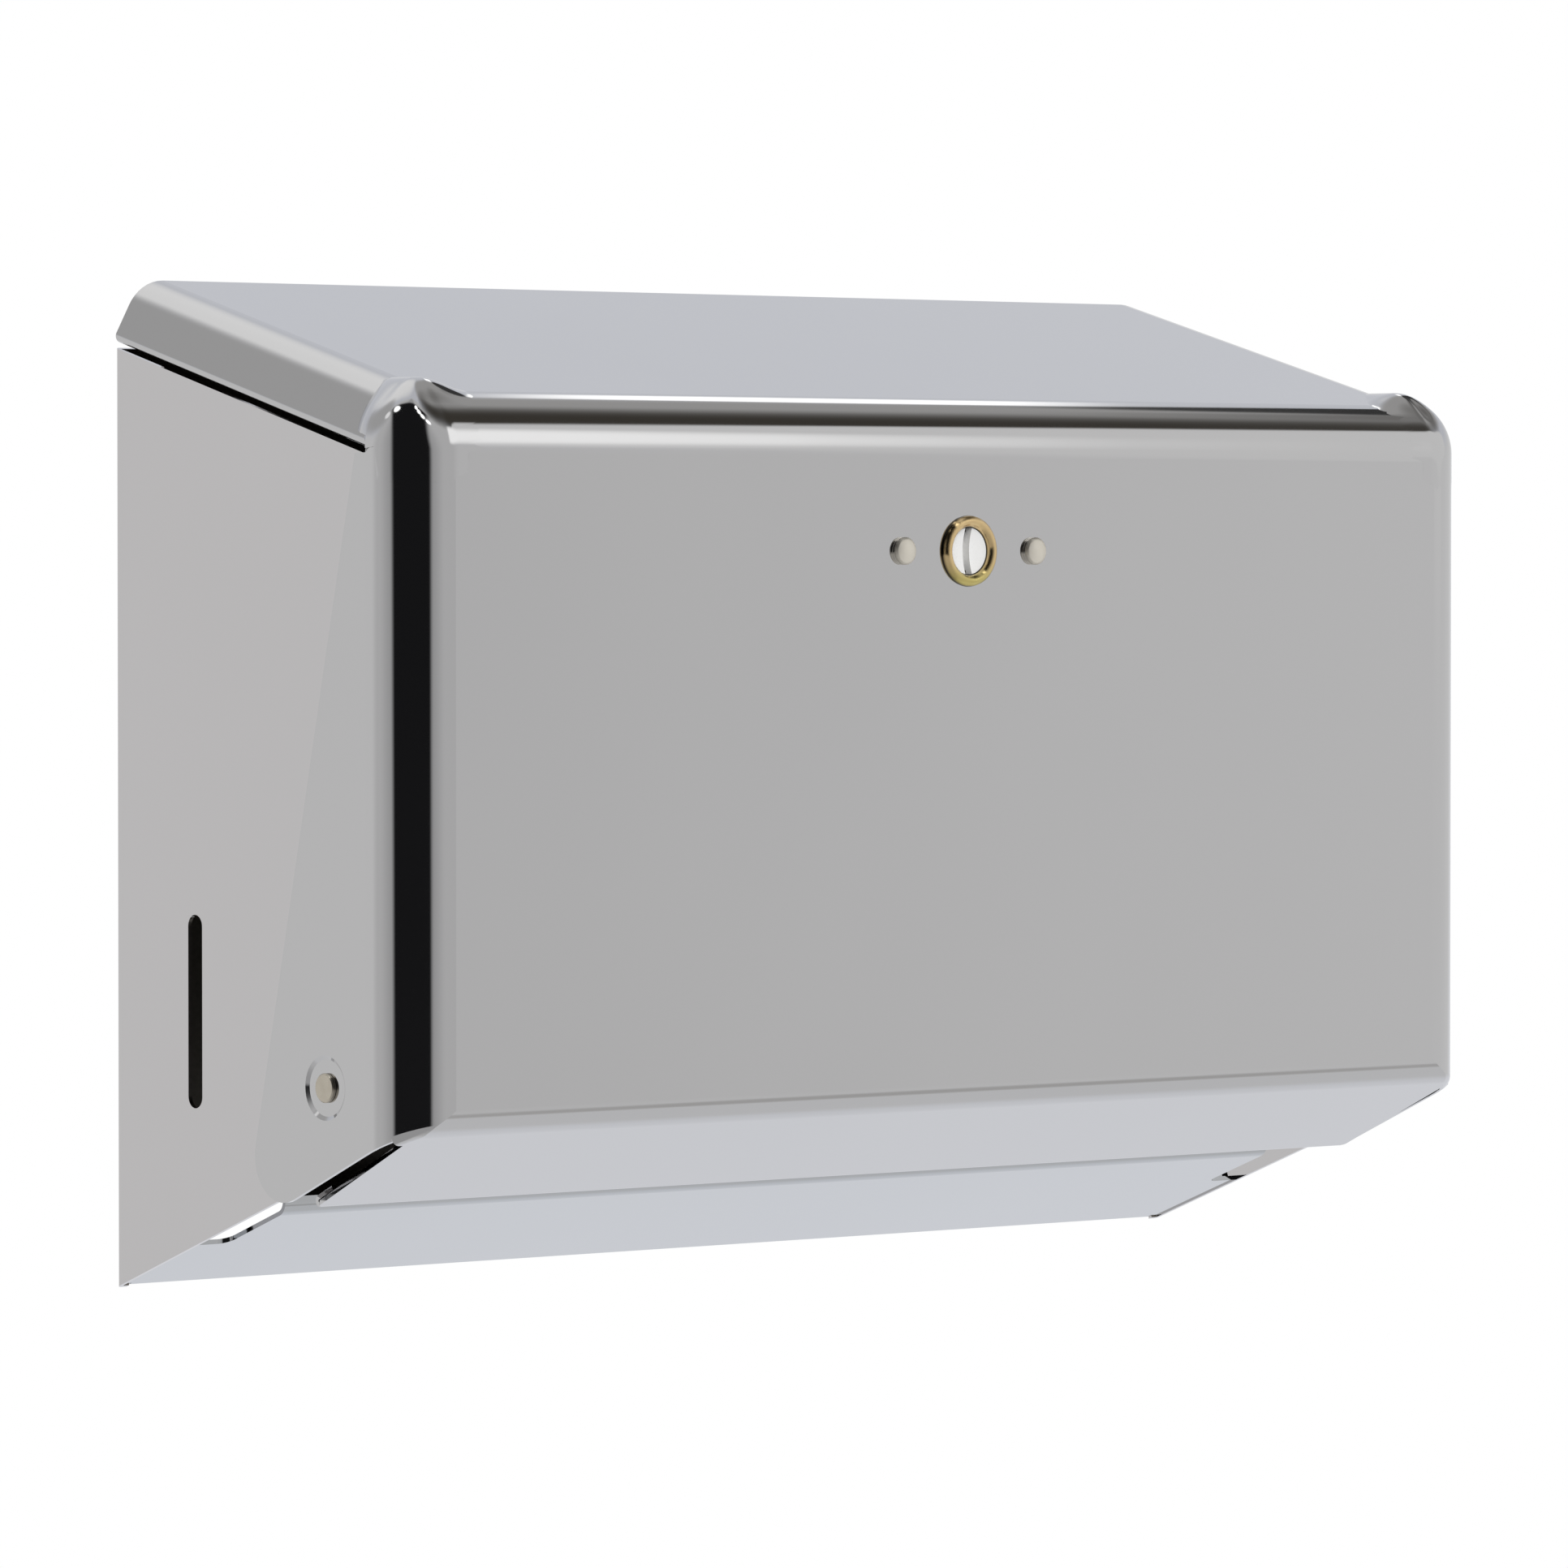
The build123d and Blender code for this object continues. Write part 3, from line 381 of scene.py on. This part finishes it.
def yellow_passivate():
    """Yellow passivated plate, olive towards the bottom, with painted shade in the crease at the ring's foot.
    """
    material, n = new_material("yellow_passivate")
    place = n.add("ShaderNodeTexCoord").outputs["Object"]
    parts = n.add("ShaderNodeSeparateXYZ", {0: place})
    upward = n.math("SUBTRACT", parts.outputs[2], LOCK_HEIGHT)
    proud = n.math("SUBTRACT", FRONT_PLACE, parts.outputs[1])
    spots = n.noise(place, RING_SPOTS, *SPOT_PATTERN)
    gold = n.mix(spots, *RING_GOLD)
    tinted = n.mix(n.ramp(upward, *OLIVE_HEIGHT, OLIVE_SHARE, 0.0), gold, RING_OLIVE)
    # Painted shade: the brass turns dark close to the cover, in the crease at the ring's foot
    crease_shade = n.ramp(proud, *PAINTED_SHADE_HEIGHT, 1.0, 0.0)
    mottle = n.soft_bump(spots, RING_RELIEF, SPOT_HEIGHT, RING_ROUNDING)
    shader = n.add("ShaderNodeBsdfPrincipled", {"Metallic": 1.0})
    n.feed(shader, "Base Color", n.mix(crease_shade, tinted, PAINTED_CREASE_SHADE))
    n.feed(shader, "Roughness", n.ramp(spots, *PATTERN_SPREAD, *RING_ROUGHNESS))
    n.feed(shader, "Normal", mottle.outputs["Normal"])
    surface(n, shader.outputs[0])
    return material


def moulded_plastic():
    """Satin white plastic."""
    material, n = new_material("white_plastic")
    place = n.add("ShaderNodeTexCoord").outputs["Object"]
    grain = n.noise(place, *PLASTIC_GRAIN)
    shader = n.add("ShaderNodeBsdfPrincipled", {"Metallic": 0.0, "IOR": PLASTIC_INDEX})
    n.feed(shader, "Base Color", n.mix(n.noise(place, *PLASTIC_TONE), *PLASTIC_WHITE))
    n.feed(shader, "Roughness", n.ramp(grain, *PATTERN_SPREAD, *PLASTIC_ROUGHNESS))
    n.feed(shader, "Normal", n.bump(grain, *PLASTIC_RELIEF).outputs["Normal"])
    surface(n, shader.outputs[0])
    return material


lock_rivet = plain_metal("lock_rivet", *LOCK_RIVET_METAL, rivet_dome, LOCK_RIVET_ROUNDING)
hinge_rivet = plain_metal("hinge_rivet", *HINGE_RIVET_METAL)
looks = {
    "zinc_steel": plain_metal("zinc_steel", *ZINC_METAL),
    "yellow_brass": yellow_passivate(),
    "white_plastic": moulded_plastic(),
}
own_looks = {
    "front_cover": plated_sheet("cover_plate", *COVER_PLATE, inside_mask),
    "cabinet_shell": plated_sheet("cabinet_plate", *CABINET_PLATE, inside_mask),
    "tie_bar": plated_sheet("bar_plate", *BAR_PLATE, inside_mask),
    "bottom_tray": plated_sheet("tray_plate", *TRAY_PLATE, upward_mask),
    "left_lock_rivet": lock_rivet,
    "right_lock_rivet": lock_rivet,
    "left_hinge_rivet": hinge_rivet,
    "right_hinge_rivet": hinge_rivet,
}
slot_of = {entry["node"]: entry["material_slot"] for entry in frame["record"]["subparts"]}
for name, node in frame["nodes"].items():
    node.data.materials.clear()
    node.data.materials.append(own_looks[name] if name in own_looks else looks[slot_of[name]])


# Corner caps: low domes over the cover's ball corners, which run out along the front's upper bend
def smooth(value, low, high):
    """0 below low and 1 above high, with an even run between."""
    share = min(max((value - low) / (high - low), 0.0), 1.0)
    return share * share * (3.0 - 2.0 * share)


class Corner:
    """Points of one cap, given outward, forward and upward from the ball's centre."""

    def __init__(self, side, skin):
        self.side = side
        self.skin = skin

    def place(self, outward, forward, upward):
        x, y, z = CAP_CENTRE
        return Vector((self.side * (x + outward), y - forward, z + upward))

    def buried(self, point):
        """Whether a point lies well under the cover's skin."""
        near, normal, _, _ = self.skin.find_nearest(point)
        return (point - near).dot(normal) < -CAP_BURIED

    def section(self, lift, shift, share=1.0, radius=CAP_RIM):
        """Reach and height of the rounded section at a lift above level, raised towards its crest."""
        raised = shift + (CAP_RISE * share - shift) * smooth(lift, *CAP_RISE_LIFT)
        return radius * cos(radians(lift)), radius * sin(radians(lift)) + raised

    def skirt(self, outward, forward):
        """The upright foot of a section whose rim is at the given place; its end dips into the cover."""
        low = [self.place(outward, forward, drop) for drop in CAP_SKIRT]
        dip = 1.0 - CAP_END_DIP / CAP_RADIUS
        low[0] = self.place(min(outward, outward * dip), forward * dip, CAP_SKIRT[0])
        return low

    def strip_column(self, inward):
        """One section of the front's upper bend, level behind its crest until it dips into the top."""
        share = 1.0 - smooth(inward, 0.0, CAP_REACH)
        radius = CAP_RIM - CAP_END_DIP * inward / CAP_REACH

        def at(turn):
            if turn <= 90.0:
                forward, upward = self.section(turn, 0.0, share, radius)
                return self.place(-inward, forward, upward)
            behind = radius * radians(turn - 90.0)
            return self.place(-inward, -behind, radius + CAP_RISE * share)

        last = 90.0 - TOP_SLOPE
        while last < SEARCH_REAR_END and not self.buried(at(last)):
            last += SEARCH_STEP
        crest = min(90.0, last - CREST_MARGIN)
        front = [at(crest * row / CAP_ROWS) for row in range(CAP_ROWS)]
        rear = [at(crest + (last - crest) * row / CAP_ROWS) for row in range(CAP_ROWS + 1)]
        return self.skirt(-inward, radius) + front, rear

    def ball_column(self, turn):
        """One section of the ball, from its foot to its pole, turned from the front towards the side."""
        shift = CAP_FRONT_SHIFT * smooth(turn, *CAP_FRONT_TURN)
        shift += (CAP_SIDE_SHIFT - CAP_FRONT_SHIFT) * smooth(turn, *CAP_SIDE_TURN)
        across = (sin(radians(turn)), cos(radians(turn)))
        dome = []
        for row in range(CAP_ROWS):
            reach, upward = self.section(90.0 * row / CAP_ROWS, shift)
            dome.append(self.place(across[0] * reach, across[1] * reach, upward))
        low = self.skirt(across[0] * CAP_RIM, across[1] * CAP_RIM)
        if turn > CAP_SKIRT_END:
            low = [dome[0]] * len(CAP_SKIRT)
        return low + dome

    def side_column(self, behind):
        """One section behind the ball, from where it leaves the side's rolled edge up to the level crest."""
        width = (1.0 - min(behind / CAP_REAR_RADIUS, 1.0) ** 2) ** 0.5

        def at(lift):
            reach, upward = self.section(lift, CAP_SIDE_SHIFT)
            return self.place(width * reach, -behind, upward)

        def above_slit(lift):
            slit = SLIT_HEIGHT + (SLIT_FRONT + behind) * tan(radians(TOP_SLOPE))
            return at(lift).z - CAP_CENTRE[2] > slit

        last = SEARCH_SIDE_START
        while last > SEARCH_STEP and above_slit(last - SEARCH_STEP) and not self.buried(at(last)):
            last -= SEARCH_STEP
        rows = CAP_ROWS + len(CAP_SKIRT)
        return [at(last + (90.0 - last) * row / rows) for row in range(rows)]


def make_cap(name, side, skin):
    """One cap: three grids of points along the bend, round the ball and behind it, then given a thickness."""
    corner = Corner(side, skin)
    bm = bmesh.new()

    def add_columns(columns):
        grid = [[bm.verts.new(point) for point in column] for column in columns]
        for left, right in zip(grid, grid[1:]):
            for row in range(len(left) - 1):
                ring = (left[row], right[row], right[row + 1], left[row + 1])
                bm.faces.new(ring if side < 0 else ring[::-1])

    inward = [CAP_REACH * (1.0 - step / CAP_STRIP_COLUMNS) for step in range(CAP_STRIP_COLUMNS + 1)]
    strips = [corner.strip_column(distance) for distance in inward]
    add_columns([front + rear for front, rear in strips])
    crest = strips[-1][1]
    turns = [90.0 * step / CAP_BALL_COLUMNS for step in range(CAP_BALL_COLUMNS + 1)]
    add_columns([corner.ball_column(turn) + [crest[0]] for turn in turns])
    add_columns([corner.side_column(point.y - CAP_CENTRE[1]) + [point] for point in crest])
    bmesh.ops.remove_doubles(bm, verts=bm.verts, dist=MERGE_DISTANCE)
    bmesh.ops.dissolve_degenerate(bm, edges=bm.edges, dist=SLIVER_LENGTH)
    bmesh.ops.recalc_face_normals(bm, faces=bm.faces)
    bmesh.ops.solidify(bm, geom=bm.faces[:], thickness=CAP_THICKNESS)
    bmesh.ops.recalc_face_normals(bm, faces=bm.faces)
    mesh = bpy.data.meshes.new(name)
    bm.to_mesh(mesh)
    bm.free()
    for face in mesh.polygons:
        face.use_smooth = True
    mesh.set_sharp_from_angle(angle=radians(CAP_RIM_ANGLE))
    cap = bpy.data.objects.new(name, mesh)
    cap.data.materials.append(own_looks["front_cover"])
    bpy.context.scene.collection.objects.link(cap)
    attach(cap, "cover")


def make_caps():
    cover = frame["nodes"]["front_cover"]
    points = [cover.matrix_world @ vertex.co for vertex in cover.data.vertices]
    skin = BVHTree.FromPolygons(points, [tuple(face.vertices) for face in cover.data.polygons])
    make_cap("left_corner_cap", -1.0, skin)
    make_cap("right_corner_cap", 1.0, skin)


# Floor: a pale disc well below the part, which the metal doesn't mirror
def make_floor():
    material, n = new_material("pale_floor")
    place = n.add("ShaderNodeTexCoord").outputs["Object"]
    tone = n.math("MULTIPLY", n.noise(place, *FLOOR_PATTERN), FLOOR_TONE)
    glow = n.add("ShaderNodeEmission", {"Strength": FLOOR_GLOW})
    n.feed(glow, "Color", n.mix(tone, FLOOR_COLOUR, BACKDROP_WHITE))
    surface(n, glow.outputs[0])
    mesh = bpy.data.meshes.new("floor")
    ring = []
    for step in range(FLOOR_SIDES):
        angle = radians(360.0 * step / FLOOR_SIDES)
        ring.append((FLOOR_RADIUS * cos(angle), FLOOR_RADIUS * sin(angle), FLOOR_HEIGHT))
    mesh.from_pydata(ring, [], [list(range(FLOOR_SIDES))])
    floor = bpy.data.objects.new("floor", mesh)
    floor.visible_glossy = False
    bpy.context.scene.collection.objects.link(floor)
    floor.data.materials.append(material)


# Room: soft light from all round, a dark screen round the camera, white behind the part
def within(n, nearness, inner, outer):
    """1 inside the inner half angle and 0 beyond the outer one, from the cosine of the angle."""
    return n.ramp(nearness, cos(radians(outer)), cos(radians(inner)))


def dark_screen(n, ray, rise):
    """1 on the dark screen and 0 beside, behind and below it."""
    sideways = n.math("ABSOLUTE", n.dot(ray, heading(SCREEN_BEARING + 90.0, 0.0)))
    screen = n.ramp(sideways, sin(radians(SCREEN_INNER)), sin(radians(SCREEN_OUTER)), 1.0, 0.0)
    screen = n.math("MULTIPLY", screen, n.ramp(n.dot(ray, heading(SCREEN_BEARING, 0.0)), *SCREEN_NEAR))
    return n.math("MULTIPLY", screen, n.ramp(rise, *SCREEN_FOOT))


def make_room():
    world = bpy.data.worlds.new("room")
    bpy.context.scene.world = world
    world.use_nodes = True
    n = Nodes(world.node_tree)
    ray = n.add("ShaderNodeTexCoord").outputs["Generated"]
    rise = n.dot(ray, (0.0, 0.0, 1.0))
    colour = n.mix(n.ramp(rise, *BELOW_TO_LEVEL), ROOM_BELOW, ROOM_LEVEL)
    colour = n.mix(n.ramp(rise, *LEVEL_TO_ABOVE), colour, ROOM_ABOVE)
    level = n.vector("NORMALIZE", n.vector("MULTIPLY", ray, (1.0, 1.0, 0.0)))
    for bearing, inner, outer, shade in ROOM_WALLS:
        colour = n.mix(within(n, n.dot(level, heading(bearing, 0.0)), inner, outer), colour, shade)
    for bearing, height, inner, outer, shade in ROOM_CARDS:
        colour = n.mix(within(n, n.dot(ray, heading(bearing, height)), inner, outer), colour, shade)
    for bearing, height, inner, outer, shade, across, near, far in ROOM_STRIPS:
        aside = n.math("ABSOLUTE", n.math("SUBTRACT", n.dot(ray, (1.0, 0.0, 0.0)), across))
        card = within(n, n.dot(ray, heading(bearing, height)), inner, outer)
        colour = n.mix(n.math("MULTIPLY", n.ramp(aside, near, far, 1.0, 0.0), card), colour, shade)
    colour = n.mix(dark_screen(n, ray, rise), colour, ROOM_DARK)
    for bearing, height, inner, outer, shade in ROOM_LAMPS:
        colour = n.mix(within(n, n.dot(ray, heading(bearing, height)), inner, outer), colour, shade)
    seen = n.add("ShaderNodeLightPath").outputs["Is Camera Ray"]
    colour = n.mix(seen, colour, BACKDROP_WHITE)
    glow = n.add("ShaderNodeBackground", {"Color": colour, "Strength": 1.0})
    output = n.add("ShaderNodeOutputWorld")
    n.feed(output, "Surface", glow.outputs[0])


def make_light():
    data = bpy.data.lights.new("key", "AREA")
    data.size = KEY_SIZE
    data.energy = KEY_POWER
    light = bpy.data.objects.new("key", data)
    light.location = KEY_PLACE
    light.rotation_euler = Vector(KEY_PLACE).to_track_quat("Z", "Y").to_euler()
    light.visible_glossy = False
    light.visible_camera = False
    bpy.context.scene.collection.objects.link(light)


def make_camera():
    data = bpy.data.cameras.new("camera")
    data.sensor_fit = "HORIZONTAL"
    data.sensor_width = SENSOR_WIDTH
    data.lens = CAMERA_LENS
    data.clip_end = CAMERA_REACH
    camera = bpy.data.objects.new("camera", data)
    camera.location = CAMERA_PLACE
    camera.rotation_euler = Vector(CAMERA_LOOK).to_track_quat("-Z", "Y").to_euler()
    bpy.context.scene.collection.objects.link(camera)
    bpy.context.scene.camera = camera


make_caps()
make_floor()
make_room()
make_light()
make_camera()
bpy.context.scene.view_settings.view_transform = "Standard"
